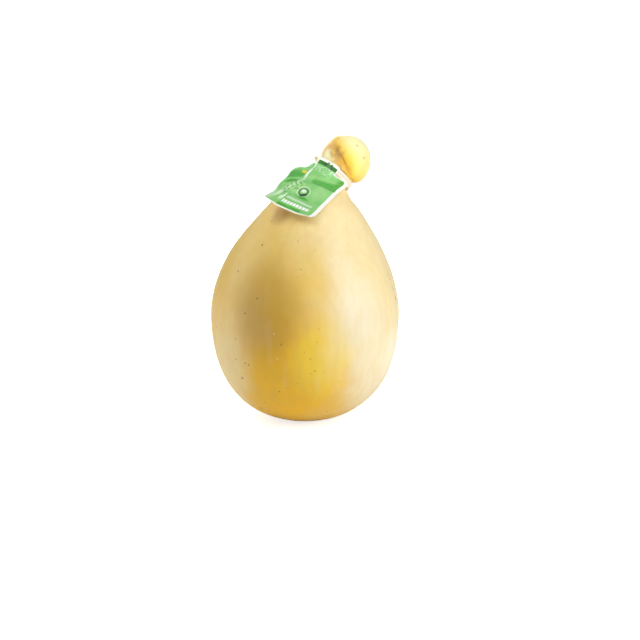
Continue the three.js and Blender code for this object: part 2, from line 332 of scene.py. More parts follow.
# White paper: the glow seen by the camera brings it to white except where a shadow falls
def makeFloor():
    bpy.ops.mesh.primitive_plane_add(size=studio["floorSize"] * mm, location=base)
    floor = bpy.context.object
    floor.name = "studioFloor"
    material, tree, shader = newMaterial("paleFloor")
    place = objectPlace(tree)
    near, full = studio["glowFull"]
    away = distance(place, (0, 0, 0))
    inputs = {0: away, 1: near * mm, 2: full * mm, 3: studio["floorGlow"], 4: 1.0}
    glow = addNode(tree, "MapRange", inputs).outputs[0]
    glow = times(glow, addNode(tree, "LightPath").outputs["Is Camera Ray"])
    setInputs(shader, {
        "Base Color": (0.9, 0.9, 0.9, 1), "Roughness": 0.9, "Specular IOR Level": 0.1,
        "Emission Color": (1, 1, 1, 1), "Emission Strength": glow,
    })
    dress(floor, material)


makeCamera()
for panel in studio["panels"]:
    makePanel(*panel)
makeWorld()
makeFloor()
bpy.context.scene.view_settings.view_transform = "Standard"
print("studio made")


# The cheese is one skin of rings, from its foot up to its head
cheeseShape = {
    "columns": 64,
    "ringCounts": {"lower": 12, "upper": 12, "shoulder": 12, "collar": 7, "head": 13},
    "footRings": (0.25, 0.6, 0.9),  # shares of the flat spot's radius
    "bodyRadius": 80, "widestHeight": 88,
    "upperLength": 133, "upperFullness": 1.02,
    "lowerDepth": 90, "lowerFullness": 2.4,
    "shoulderHeight": 182, "leanAtShoulder": 7.6, "leanPower": 2.6,
    "shoulderTurnEase": 1.4, "shoulderPull": 0.6, "neckPull": 0.43,
    "grooveRadius": 14.9, "grooveHalf": 3.6, "grooveWall": 1.0,
    "neckUnderRadius": 17.8, "neckUnderSlope": -0.8, "neckOverRadius": 17, "lipTilt": 3,
    "creaseDistance": 12.3, "collarRadius": 18.9, "collarSlope": 0.5,
    "creaseProfile": ((0.8, 18.9), (2.0, 19.0), (3.2, 19.7)),  # how far beyond the collar, radius
    "headRadius": 20.9, "headHalfThickness": 19.2, "headOffset": 6, "headStart": 15.5,
    "foldDepth": 1.3, "foldWidth": 1.5, "foldTurn": 78,  # the crease is deepest on this side
    "foldLeast": 0.06, "foldSpread": 2.6, "foldSharpness": 1.6, "foldUneven": 0.4, "foldScale": 0.12,
    "topSwell": 2.3, "topTurn": 10, "topSpread": 2.2,  # the collar and the head are fuller on top
    "topHumps": ((1, 0, 3.2), (0.5, -5, 4), (0.8, 5, 4)),  # share, place from the crease, reach
    "crownSwell": 1.6, "crownWay": (0.62, -0.1, 0.78), "crownSpread": 3, "crownFrom": (1, 10),
    "uneven": ((0.45, 0.028), (0.18, 0.07), (0.16, 0.22)),  # height in millimetres, scale of its noise
    "evenFrom": 13.5, "evenBelow": 1.5,  # where that evens out, down at the foot
    "pleats": 17, "pleatDepth": 0.55, "pleatWander": 3.08, "pleatSink": 0.35,  # gathers at the twine
    "pleatReach": 13, "pleatFade": 2.2, "pleatWithin": 45,
}
neckCentre = base + Vector((22.8, 14.7, 204.7)) * mm
neckAxis = heading(45, 34)
headAxis = heading(65.6, 7.5)
up = Vector((0, 0, 1))
neckRight, headRight = neckAxis.cross(up).normalized(), headAxis.cross(up).normalized()
neckTop, headTop = neckRight.cross(neckAxis), headRight.cross(headAxis)


def bodyRadiusAt(z):
    s = cheeseShape
    if z >= s["widestHeight"]:
        rise = ((z - s["widestHeight"]) / s["upperLength"]) ** s["upperFullness"]
        return s["bodyRadius"] * math.cos(math.pi / 2 * rise)
    drop = ((s["widestHeight"] - z) / s["lowerDepth"]) ** s["lowerFullness"]
    return s["bodyRadius"] * (1 - drop) ** (1 / s["lowerFullness"])


def bodyCentreAt(z):
    s = cheeseShape
    rise = max(0, z - s["widestHeight"]) / (s["shoulderHeight"] - s["widestHeight"])
    side = Vector((neckCentre.x - base.x, neckCentre.y - base.y, 0)).normalized()
    return base + (side * s["leanAtShoulder"] * rise ** s["leanPower"] + up * z) * mm


# A ring of the skin: its middle, the way it faces, its radius in millimetres, and how its
# middle moves and its radius changes over one millimetre
def skinRing(centre, axis, radius, way=None, slope=0):
    return {"centre": centre, "axis": axis, "radius": radius, "way": way or axis, "slope": slope}


def bodyRing(z):
    way = (bodyCentreAt(z + 0.5) - bodyCentreAt(z - 0.5)) / mm
    slope = bodyRadiusAt(z + 0.5) - bodyRadiusAt(z - 0.5)
    return skinRing(bodyCentreAt(z), up, bodyRadiusAt(z), way, slope)


def hermite(start, end, startRate, endRate, t):
    places = start * (2 * t ** 3 - 3 * t ** 2 + 1) + end * (3 * t ** 2 - 2 * t ** 3)
    return places + startRate * (t ** 3 - 2 * t ** 2 + t) + endRate * (t ** 3 - t ** 2)


# Rings that turn and shrink from one ring to the next without a kink
def fan(start, end, count, turnEase, leave=1, arrive=1):
    made = []
    length = (end["centre"] - start["centre"]).length
    out, home = length * leave, length * arrive
    for t in steps(0, 1, count)[1:]:
        centre = hermite(start["centre"], end["centre"], start["way"] * out, end["way"] * home, t)
        slopes = [start["slope"] * out / mm, end["slope"] * home / mm]
        radius = hermite(start["radius"], end["radius"], *slopes, t)
        made.append(skinRing(centre, start["axis"].slerp(end["axis"], t ** turnEase), radius))
    return made


def alongNeck(distance):
    return neckCentre + neckAxis * distance * mm


def headRings(creaseCentre):
    s = cheeseShape
    middle = creaseCentre + headAxis * s["headOffset"] * mm
    first = math.radians(s["headStart"]) - math.asin(s["headOffset"] / s["headHalfThickness"])
    rings = []
    for angle in steps(first, math.pi / 2, s["ringCounts"]["head"])[:-1]:
        place = middle + headAxis * s["headHalfThickness"] * math.sin(angle) * mm
        rings.append(skinRing(place, headAxis, s["headRadius"] * math.cos(angle)))
    return rings


def cheeseRings():
    s = cheeseShape
    counts = s["ringCounts"]
    lower = [s["widestHeight"] * (1 - math.cos(angle)) for angle in steps(0, math.pi / 2, counts["lower"])]
    upper = steps(s["widestHeight"], s["shoulderHeight"], counts["upper"])[1:]
    body = [bodyRing(z) for z in lower + upper]
    foot = [skinRing(base, up, body[0]["radius"] * share) for share in s["footRings"]]
    edge = s["grooveHalf"] + s["grooveWall"]
    under = skinRing(alongNeck(-edge), neckAxis, s["neckUnderRadius"], slope=s["neckUnderSlope"])
    groove = [skinRing(alongNeck(way * s["grooveHalf"]), neckAxis, s["grooveRadius"]) for way in (-1, 0, 1)]
    tipped = s["lipTilt"] / math.degrees(neckAxis.angle(headAxis))
    lipAxis = neckAxis.slerp(headAxis, tipped)
    lip = skinRing(alongNeck(edge), lipAxis, s["neckOverRadius"], slope=s["collarSlope"])
    collar = skinRing(alongNeck(s["creaseDistance"]), headAxis, s["collarRadius"])
    crease = [skinRing(collar["centre"] + headAxis * d * mm, headAxis, r) for d, r in s["creaseProfile"]]
    pulls = s["shoulderTurnEase"], s["shoulderPull"], s["neckPull"]
    shoulder = fan(body[-1], under, counts["shoulder"], *pulls)
    toCrease = [*foot, *body, *shoulder, *groove, lip, *fan(lip, collar, counts["collar"], 1), *crease[:2]]
    return [*toCrease, *crease[2:], *headRings(collar["centre"])], len(toCrease) - 1


# Each ring is extruded from the last one, moved, sized and tipped as it goes
def extrudeRings(name, rings, columns):
    bpy.ops.object.select_all(action="DESELECT")
    first = rings[0]
    bpy.ops.mesh.primitive_circle_add(vertices=columns, radius=first["radius"] * mm, location=first["centre"])
    piece = bpy.context.object
    piece.name = name
    editMode()
    bpy.ops.mesh.select_mode(type="EDGE")
    for last, this in zip(rings, rings[1:]):
        bpy.ops.mesh.extrude_region_move(TRANSFORM_OT_translate={"value": this["centre"] - last["centre"]})
        growth = this["radius"] / last["radius"]
        bpy.ops.transform.resize(value=(growth, growth, growth), center_override=this["centre"])
        for letter, amount in zip("XYZ", last["axis"].rotation_difference(this["axis"]).to_euler("XYZ")):
            if abs(amount) > 1e-5:
                bpy.ops.transform.rotate(value=-amount, orient_axis=letter, center_override=this["centre"])
    objectMode()
    settle(piece)
    return piece


def closePoles(piece, columns):
    for start in (0, len(piece.data.vertices) - columns):
        selectOnly(piece)
        editMode()
        bpy.ops.mesh.select_all(action="DESELECT")
        objectMode()
        chosen = range(start, start + columns)
        for vertex in piece.data.vertices:
            vertex.select = vertex.index in chosen
        for edge in piece.data.edges:
            edge.select = edge.vertices[0] in chosen and edge.vertices[1] in chosen
        editMode()
        bpy.ops.mesh.fill_grid(span=columns // 4)
        objectMode()
    editMode()
    bpy.ops.mesh.select_all(action="SELECT")
    bpy.ops.mesh.normals_make_consistent(inside=False)
    objectMode()


# How far beyond the crease each point of the skin lies, in millimetres along the skin
def measureSkin(piece, rings, creaseIndex, columns):
    lengths = [0]
    for last, this in zip(rings, rings[1:]):
        forward = (this["centre"] - last["centre"]).length / mm
        lengths.append(lengths[-1] + math.hypot(forward, this["radius"] - last["radius"]))
    attribute = piece.data.attributes.new("beyondCrease", "FLOAT", "POINT")
    for vertex in piece.data.vertices:
        index = vertex.index // columns
        if index >= len(rings):  # the points that close the poles
            low = (vertex.co - base).length < cheeseShape["bodyRadius"] * mm
            index = 0 if low else len(rings) - 1
        attribute.data[vertex.index].value = lengths[index] - lengths[creaseIndex]


# Gathers on both sides of the twine. Away is counted from the middle of the groove
def pleatAt(place, away):
    s = cheeseShape
    along = away.dot(neckAxis)
    turn = math.atan2(away.dot(neckRight), away.dot(neckTop))
    wander = noise.noise(Vector((math.cos(turn), math.sin(turn), along * 0.03)) * 1.7)
    wave = math.sin(s["pleats"] * turn + s["pleatWander"] * wander) - s["pleatSink"]
    fromGroove = max(0, abs(along) - s["grooveHalf"])
    near = hump(fromGroove * s["pleatFade"], 0, s["pleatReach"]) * (away.length < s["pleatWithin"])
    share = 0.55 + 0.9 * noise.noise(place * 0.09)  # some gathers are deeper than others
    return s["pleatDepth"] * wave * near * share


# The crease between collar and head, and the fullness on top of them
def foldAt(place, away, beyond, normal):
    s = cheeseShape
    turn = math.atan2(away.dot(headRight), away.dot(headTop))
    facing = 0.5 + 0.5 * math.cos(turn - math.radians(s["foldTurn"]))
    deep = between(s["foldLeast"], 1, facing ** s["foldSpread"])
    deep *= 1 + s["foldUneven"] * noise.noise(place * s["foldScale"])
    crease = s["foldDepth"] * deep * math.exp(-abs(beyond / s["foldWidth"]) ** s["foldSharpness"])
    onTop = (0.5 + 0.5 * math.cos(turn - math.radians(s["topTurn"]))) ** s["topSpread"]
    full = sum(share * hump(beyond, middle, reach) for share, middle, reach in s["topHumps"])
    crown = max(0, normal.dot(Vector(s["crownWay"]).normalized())) ** s["crownSpread"]
    crown *= smooth(beyond, *s["crownFrom"])
    return s["topSwell"] * onTop * full + s["crownSwell"] * crown - crease


# Skin is nowhere quite even
def unevenAt(place):
    s = cheeseShape
    rise = sum(height * noise.noise(place * scale) for height, scale in s["uneven"])
    return rise * smooth(place.z, s["evenBelow"], s["evenFrom"])


def roughen(piece):
    beyond = piece.data.attributes["beyondCrease"].data
    shifts = []
    for vertex in piece.data.vertices:
        place, away = (vertex.co - base) / mm, (vertex.co - neckCentre) / mm
        rise = foldAt(place, away, beyond[vertex.index].value, vertex.normal)
        shifts.append((rise + pleatAt(place, away) + unevenAt(place)) * vertex.normal * mm)
    for vertex, shift in zip(piece.data.vertices, shifts):
        vertex.co += shift


def makeCheese():
    columns = cheeseShape["columns"]
    rings, creaseIndex = cheeseRings()
    piece = extrudeRings("caciocavallo", rings, columns)
    closePoles(piece, columns)
    measureSkin(piece, rings, creaseIndex, columns)
    subdivide(piece, 2)
    applyModifiers(piece)
    roughen(piece)
    bpy.ops.object.shade_smooth()
    return piece


rindLook = {
    "plain": (0.88, 0.575, 0.13, 1),
    "upper": (0.87, 0.62, 0.165, 1),
    "pale": (0.88, 0.735, 0.42, 1),  # painted light: the right side paler where the lamps on the right fall and reflect; also the colour of the pale wisps
    "gold": (1.0, 0.565, 0.008, 1),  # painted golden bounce light, low on the front
    "marks": {  # colour, strength
        "cloud": ((0.72, 0.47, 0.12, 1), 0.13), "streak": ((0.70, 0.47, 0.09, 1), 0.12),
        "speck": ((0.26, 0.15, 0.05, 1), 0.85), "fleck": ((0.96, 0.88, 0.55, 1), 0.5),
        "scuff": ((0.36, 0.15, 0.03, 1), 0.75), "scratch": ((0.16, 0.15, 0.08, 1), 0.8),
        "pit": ((0.50, 0.36, 0.06, 1), 0.75),
    },
    "speckOnRight": 0.12,  # how strong the specks are there
    # Shares of the widest radius: up the cheese, across it to the right, and away from a place
    "upperFrom": (1.2, 2.2), "paintedLitSideFrom": (0.02, 0.62),
    "bounceGoldReach": (0.95, 0.25), "scuffReach": (0.125, 0.03), "pitReach": (0.021, 0.008),
    "driftScale": 14.0, "drift": 0.7,  # how the edges of the colours wander
    "wobbleScale": 160.0, "wobble": 4.0,  # and those of the neck's, in millimetres
    "cloudScale": 30.0, "streakScale": 190.0, "wispScale": 75.0, "speckScale": 130.0, "fleckScale": 120.0,
    "bumpStrength": 0.25, "bumpDepth": 0.25,
    "neck": [  # millimetres beyond the crease, colour
        (-24, (0.90, 0.70, 0.30, 1)), (-14, (1.0, 0.86, 0.50, 1)), (-9, (1.0, 0.80, 0.39, 1)),
        # Darkening to orange-brown around the crease: painted shade in the fold, over the collar's own tan
        # and the head's own orange
        (-6, (0.94, 0.63, 0.18, 1)), (-2.5, (0.82, 0.45, 0.05, 1)), (-0.5, (0.78, 0.41, 0.03, 1)),
        (0.9, (0.84, 0.47, 0.03, 1)), (3, (0.95, 0.61, 0.04, 1)), (7, (1.0, 0.73, 0.09, 1)),
        (15, (0.98, 0.84, 0.26, 1)), (34, (0.98, 0.90, 0.54, 1)),
    ],
    "patches": [  # middle, how far it reaches, colour, strength
        # Painted golden bounce light low on the front; painted shade, dark tan, on the left middle
        ((11, -79, 72), 30, (0.96, 0.69, 0.05, 1), 0.7), ((-31, -71, 109), 38, (0.60, 0.35, 0.03, 1), 0.66),
        # More yellow up the front; painted light bounced from the floor, pale, low on the left
        ((8, -62, 135), 26, (0.90, 0.64, 0.09, 1), 0.35), ((-57, -42, 40), 26, (1.0, 0.86, 0.5, 1), 0.5),
        # Painted shade, dark tan, on the left middle; painted highlight, pale, on the right
        ((-24, -74, 92), 22, (0.66, 0.36, 0.03, 1), 0.35), ((44, -64, 99), 38, (0.83, 0.77, 0.58, 1), 0.75),
        # Painted light just below the label; painted light bounced from the floor, pale, low on the left
        ((-3, -45, 166), 22, (0.94, 0.74, 0.32, 1), 0.4), ((-65, -43, 55), 37, (1.0, 0.81, 0.42, 1), 0.75),
        # Painted shadow of the label, dark brown, just under its lower left edge
        ((-18.5, -25, 181.5), 12.5, (0.50, 0.27, 0.05, 1), 0.85),
        # Painted light, pale, low on the right
        ((60, -42, 48), 34, (0.95, 0.84, 0.60, 1), 0.55),
        # Painted light, pale, low on the right; a duller tan on the left
        ((45, -58, 60), 28, (0.95, 0.86, 0.62, 1), 0.4), ((-47, -63, 95), 26, (0.72, 0.47, 0.22, 1), 0.35),
        # Painted golden bounce light low on the front; painted light, pale, on the right edge
        ((22, -73, 58), 21, (0.98, 0.72, 0.06, 1), 0.35), ((72, -28, 62), 26, (1.0, 0.93, 0.72, 1), 0.5),
        # Paler on the right shoulder by the label; painted shade, orange, on the head beside the crease
        ((32, -26, 182), 24, (0.96, 0.80, 0.46, 1), 0.45), ((36, 1.5, 227), 9, (1.0, 0.62, 0.05, 1), 0.75),
        # Paler on the front of the collar
        ((18, 7.5, 222.5), 7.5, (1.0, 0.92, 0.60, 1), 0.65),
        # Painted shade, dark, in the crease
        ((28.6, 0.6, 220.8), 6, (0.76, 0.38, 0.02, 1), 0.7),
        # Painted shade, dark orange, low in the crease; paler on the head's lower right
        ((34, 1.5, 207), 7, (0.86, 0.50, 0.04, 1), 0.75), ((47, 3, 211), 9, (1.0, 0.95, 0.5, 1), 0.45),
        # Painted highlight, near white, on the top of the head; golden low on the head
        ((42, 12, 237), 18, (1.0, 0.96, 0.62, 1), 0.7), ((43, 2, 204), 13, (1.0, 0.78, 0.14, 1), 0.7),
        # Two small brown scuffs at the upper left end of the crease
        ((23.1, 10.6, 231), 5, (0.60, 0.34, 0.08, 1), 0.5), ((21.5, 11, 229), 3, (0.52, 0.32, 0.08, 1), 0.5),
    ],
    "patchSquash": 0.62,  # less than 1 draws the patches out upwards
    "curledFrom": 20,  # patches that reach further than this have wandering edges
    "bounceGoldPlace": (-18, -74, 44), "scuffPlace": (27, 4, 225),
    "pits": ((43.4, 7.7, 230.2), (49.2, 5.5, 220.5), (28.5, 12.8, 235.0)),
    "roughness": 0.5, "specular": 0.38, "coat": 0.2, "coatRoughness": 0.38,
}


# Lengths are shares of the cheese's widest radius, counted from the middle of its base
def rindMaterial():
    look = rindLook
    radius = cheeseShape["bodyRadius"]
    material, tree, shader = newMaterial("waxedRind")
    place = objectPlace(tree)
    scaled = stretched(place, (1 / (radius * mm),) * 3)
    across, deep, tall = addNode(tree, "SeparateXYZ", {0: scaled}).outputs
    drift = times(minus(cloudy(place, look["driftScale"]), 0.5), look["drift"])
    height = plus(tall, drift)
    side = plus(plus(across, times(minus(tall, 1.1), 0.33)), drift)

    def inRadii(spot):
        return tuple(value / radius for value in spot)

    def awayFrom(spot):
        return distance(scaled, inRadii(spot))

    def tint(colour, mask, name, strength=None):
        shade, usual = look["marks"][name]
        return blend(times(mask, usual if strength is None else strength), colour, shade)

    # Paler up the cheese, partly painted light from above; paler still to the right, painted light where the
    # lamps on the right fall
    colour = blend(ramp(height, *look["upperFrom"]), look["plain"], look["upper"])
    colour = blend(ramp(side, *look["paintedLitSideFrom"]), colour, look["pale"])
    # Painted light: a golden pool of bounced light low on the front
    fromBounceGold = plus(awayFrom(look["bounceGoldPlace"]), drift)
    colour = blend(ramp(fromBounceGold, *look["bounceGoldReach"]), colour, look["gold"])

    # The collar and the head, by how far they lie from the crease; the ramp's dark stops at the crease are
    # painted shade in the fold
    wobble = minus(cloudy(place, look["wobbleScale"]), 0.5)
    beyond = addNode(tree, "Attribute", attribute_name="beyondCrease").outputs["Fac"]
    beyond = plus(beyond, times(wobble, look["wobble"]))
    low, high = look["neck"][0][0], look["neck"][-1][0]
    share = addNode(tree, "MapRange", {0: beyond, 1: low, 2: high}).outputs[0]
    neck = colourRamp(share, [((at - low) / (high - low), shade) for at, shade in look["neck"]])
    colour = blend(ramp(beyond, low - 8, low), colour, neck)

    # Patches of tone, most of them painted light and shade
    curled = curledBy(scaled, place, 22.0, 4.0, 0.5)
    for spot, reach, shade, strength in look["patches"]:
        start = curled if reach > look["curledFrom"] else scaled
        away = vectors("MULTIPLY", vectors("SUBTRACT", start, inRadii(spot)), (1, 1, look["patchSquash"]))
        near = ramp(distance(away, (0, 0, 0)), reach / radius, reach / 4 / radius)
        colour = blend(times(near, strength), colour, shade)
    scuff = times(ramp(awayFrom(look["scuffPlace"]), *look["scuffReach"]), mottled(place, 230.0, 0.16))
    colour = tint(colour, scuff, "scuff")

    # Clouding all over, with streaks and wisps drawn out upwards
    colour = tint(colour, mottled(place, look["cloudScale"], 0.25), "cloud")
    streaks = mottled(stretched(place, (1, 1, 0.22)), look["streakScale"], 0.12)
    colour = tint(colour, streaks, "streak")
    wisps = cloudy(stretched(place, (1, 1, 0.16)), look["wispScale"], 4.0)
    lowDown = ramp(height, 2.0, 1.2, 0.08, 0.15)
    colour = blend(times(ramp(wisps, 0.54, 0.72), lowDown), colour, look["pale"])
    colour = tint(colour, ramp(wisps, 0.46, 0.30), "streak", lowDown)

    # Dark specks, stronger on the left, pale flecks, and the pits on the head
    specks = spotted(curledBy(place, place, 900.0, 2.0, 2.4 * mm), look["speckScale"], 0.13, 0.8)
    most = look["marks"]["speck"][1]
    colour = tint(colour, specks, "speck", ramp(side, 0.35, -0.1, look["speckOnRight"], most))
    drawn = stretched(place, (1, 1, 0.4))
    colour = tint(colour, spotted(drawn, look["fleckScale"], 0.075, 0.5), "fleck")
    for spot in look["pits"]:
        colour = tint(colour, ramp(awayFrom(spot), *look["pitReach"]), "pit")

    # A broken dark scratch down the right side
    line = plus(plus(deep, times(tall, 0.10)), times(wobble, 0.04))
    line = ramp(compute("ABSOLUTE", plus(line, 0.10)), 0.014, 0.004)
    line = times(line, ramp(across, 0.5, 0.7), ramp(height, 1.22, 1.28), ramp(height, 1.62, 1.5))
    colour = tint(colour, times(line, mottled(place, 170.0, 0.05)), "scratch")

    creases = cloudy(drawn, 120.0)
    relief = plus(times(cloudy(place, 420.0, 5.0), 0.25), creases)
    setInputs(shader, {
        "Base Color": colour,
        "Normal": bumped(look["bumpStrength"], look["bumpDepth"], minus(relief, times(specks, 0.6))),
        "Roughness": ramp(creases, 0.3, 0.7, look["roughness"] - 0.05, look["roughness"] + 0.06),
        "Specular IOR Level": look["specular"],
        "Coat Weight": look["coat"], "Coat Roughness": look["coatRoughness"],
        "Subsurface Weight": 0.25, "Subsurface Radius": (1.0, 0.5, 0.2), "Subsurface Scale": 6 * mm,
    })
    return material


cheese = makeCheese()
dress(cheese, rindMaterial())
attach(cheese, "root")
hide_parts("cheese")
print("cheese made,", len(cheese.data.polygons), "faces")


# The twine: two turns in the neck's groove, a knot behind and a cut end at one side
twineShape = {
    "ringRadius": 17.4, "turnSpacing": 2.9, "turnPoints": 440,
    "crossing": (0.43, 0.57),  # where along the two turns the first steps over to the second
    "strandRadius": 0.74, "strandOffset": 0.68, "pitch": 7.5, "step": 0.5,
    "knotTurn": 150, "knotStandOff": 3.3, "knotSize": 1.25, "knotGap": 0.42, "knotPoints": 120,
    "tailLength": 7.5, "tailPoints": 16, "cutPoints": 24,
    "cutEnd": ((12.0, 11.4, 214.8), (11.2, 12.8, 217.8), (9.2, 13.0, 220.7)),  # tucked under the turns
    "knotSplay": 1.2, "cutSplay": 1.7, "splayLength": 2.5,  # how the strands part at an end
    "fibres": 190, "fibreRadius": 0.035, "fibreLength": (0.8, 2.4), "fibreSeed": 7,
    "pale": (1.0, 0.98, 0.90, 1), "shade": (0.97, 0.90, 0.78, 1), "speck": (0.72, 0.54, 0.36, 1),
    "shadeScale": 160.0, "speckScale": 1500.0, "speckStrength": 0.25, "fuzzScale": 2200.0,
    "cutColour": (0.88, 0.73, 0.39, 1), "cutReach": (6, 2.5),
}
neckFront = (Vector((0, -1, 0)) - neckAxis * Vector((0, -1, 0)).dot(neckAxis)).normalized()
neckSide = neckAxis.cross(neckFront)


def neckRadial(angle):
    return neckFront * math.cos(angle) + neckSide * math.sin(angle)


def neckPoint(angle, radius, distance):
    return alongNeck(distance) + neckRadial(angle) * radius * mm


# Two flat turns, with a short step between them under the knot
def turnsPath():
    t = twineShape
    points = []
    for share in steps(0, 1, t["turnPoints"]):
        angle = math.radians(t["knotTurn"]) + 4 * math.pi * share
        side = smooth(share, *t["crossing"]) - 0.5
        points.append(neckPoint(angle, t["ringRadius"], t["turnSpacing"] * side))
    return points


# The short straight end that leaves the knot after its last point
def tailFrom(end, before, droop):
    t = twineShape
    way = (end - before).normalized()
    shares = steps(0, 1, t["tailPoints"])[1:]
    return [end + (way * share + droop * share ** 2) * t["tailLength"] * mm for share in shares]


# An overhand knot pulled down on the turns, with a short tail above and below it
def knotPath():
    t = twineShape
    angle = math.radians(t["knotTurn"])
    out, side = neckRadial(angle), neckRadial(angle + math.pi / 2)
    centre = neckPoint(angle, t["ringRadius"] + t["knotStandOff"], 0)
    points = []
    for turn in steps(t["knotGap"], 2 * math.pi - t["knotGap"], t["knotPoints"]):
        across = math.sin(turn) + 2 * math.sin(2 * turn)
        rise = 1.05 * (math.cos(turn) - 2 * math.cos(2 * turn))
        inward = 1.15 * math.sin(3 * turn)
        points.append(centre + (side * across + neckAxis * rise - out * inward) * t["knotSize"] * mm)
    first = tailFrom(points[0], points[1], neckAxis * 0.3 + side * 0.3)
    last = tailFrom(points[-1], points[-2], -neckAxis * 0.3 - side * 0.36)
    return first[::-1] + points + last


def cutEndPath():
    root, bend, tip = [Vector(place) * mm for place in twineShape["cutEnd"]]
    shares = steps(0, 1, twineShape["cutPoints"])
    return [root * (1 - k) ** 2 + bend * 2 * k * (1 - k) + tip * k ** 2 for k in shares]


def evenPoints(points, step):
    made = [points[0]]
    for this in points[1:]:
        while (this - made[-1]).length > step:
            made.append(made[-1] + (this - made[-1]).normalized() * step)
    return made


# Three strands wound round each other along a path, as lists of points
def windStrands(path, splay=0):
    t = twineShape
    points = evenPoints(path, t["step"] * mm)
    side = None
    strands = [[], [], []]
    for index, point in enumerate(points):
        way = (points[min(index + 1, len(points) - 1)] - points[max(index - 1, 0)]).normalized()
        side = side or way.orthogonal()
        side = (side - way * side.dot(way)).normalized()
        other = way.cross(side)
        fromEnd = min(index, len(points) - 1 - index) * t["step"]
        offset = t["strandOffset"] * (1 + splay * max(0, 1 - fromEnd / t["splayLength"]) ** 2) * mm
        for number, strand in enumerate(strands):
            angle = 2 * math.pi * (index * t["step"] / t["pitch"] + number / 3)
            strand.append(point + (side * math.cos(angle) + other * math.sin(angle)) * offset)
    return strands


def curveThrough(name, lines, radius, sides):
    curve = bpy.data.curves.new(name, "CURVE")
    curve.dimensions = "3D"
    curve.bevel_depth = radius * mm
    curve.bevel_resolution = sides
    curve.use_fill_caps = True
    for line in lines:
        spline = curve.splines.new("POLY")
        spline.points.add(len(line) - 1)
        for point, place in zip(spline.points, line):
            point.co = (*place, 1)
    piece = bpy.data.objects.new(name, curve)
    bpy.context.collection.objects.link(piece)
    selectOnly(piece)
    bpy.ops.object.convert(target="MESH")
    return bpy.context.object


# Loose ends of fibre that stand off the strands
def fibreLines(strands):
    t = twineShape
    chance = random.Random(t["fibreSeed"])

    def anyWay(most):
        return Vector([chance.uniform(-most, most) for axis in range(3)])

    lines = []
    for number in range(t["fibres"]):
        strand = chance.choice(strands)
        index = chance.randrange(2, len(strand) - 3)
        place = strand[index]
        way = (strand[index + 1] - place).normalized()
        out = anyWay(1)
        out = (out - way * out.dot(way)).normalized()
        length = chance.uniform(*t["fibreLength"]) * mm
        start = place + out * t["strandRadius"] * 0.9 * mm
        bow, lean = anyWay(0.5), way * 1.1 + out * 0.7
        lines.append([start + (lean * share + bow * share ** 2) * length for share in steps(0, 1, 4)])
    return lines


def makeTwine():
    t = twineShape
    wound = windStrands(turnsPath()) + windStrands(knotPath(), t["knotSplay"])
    wound += windStrands(cutEndPath(), t["cutSplay"])
    piece = curveThrough("neckTwine", wound, t["strandRadius"], 2)
    fibres = curveThrough("twineFibres", fibreLines(wound), t["fibreRadius"], 0)
    selectOnly(piece)
    fibres.select_set(True)
    bpy.ops.object.join()
    editMode()
    bpy.ops.mesh.select_all(action="SELECT")
    bpy.ops.mesh.remove_doubles(threshold=0.001 * mm)  # the caps join the tubes
    objectMode()
    bpy.ops.object.shade_smooth()
    settle(piece)
    return piece


def twineMaterial():
    t = twineShape
    material, tree, shader = newMaterial("paleTwine")
    place = objectPlace(tree)
    colour = blend(mottled(place, t["shadeScale"], 0.3), t["pale"], t["shade"])
    specks = times(mottled(place, t["speckScale"], 0.3), t["speckStrength"])
    colour = blend(specks, colour, t["speck"])
    # The cut end turns tan towards its tip: partly the cord's own colour, partly painted shade
    fromTip = distance(place, Vector(t["cutEnd"][-1]) * mm)
    far, near = t["cutReach"]
    setInputs(shader, {
        "Base Color": blend(ramp(fromTip, far * mm, near * mm), colour, t["cutColour"]),
        "Normal": bumped(0.5, 0.12, cloudy(place, t["fuzzScale"])),
        "Roughness": 0.85, "Sheen Weight": 0.3,
    })
    return material


twine = makeTwine()
dress(twine, twineMaterial())
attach(twine, "root")
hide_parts("neck_cord")
print("twine made,", len(twine.data.polygons), "faces")


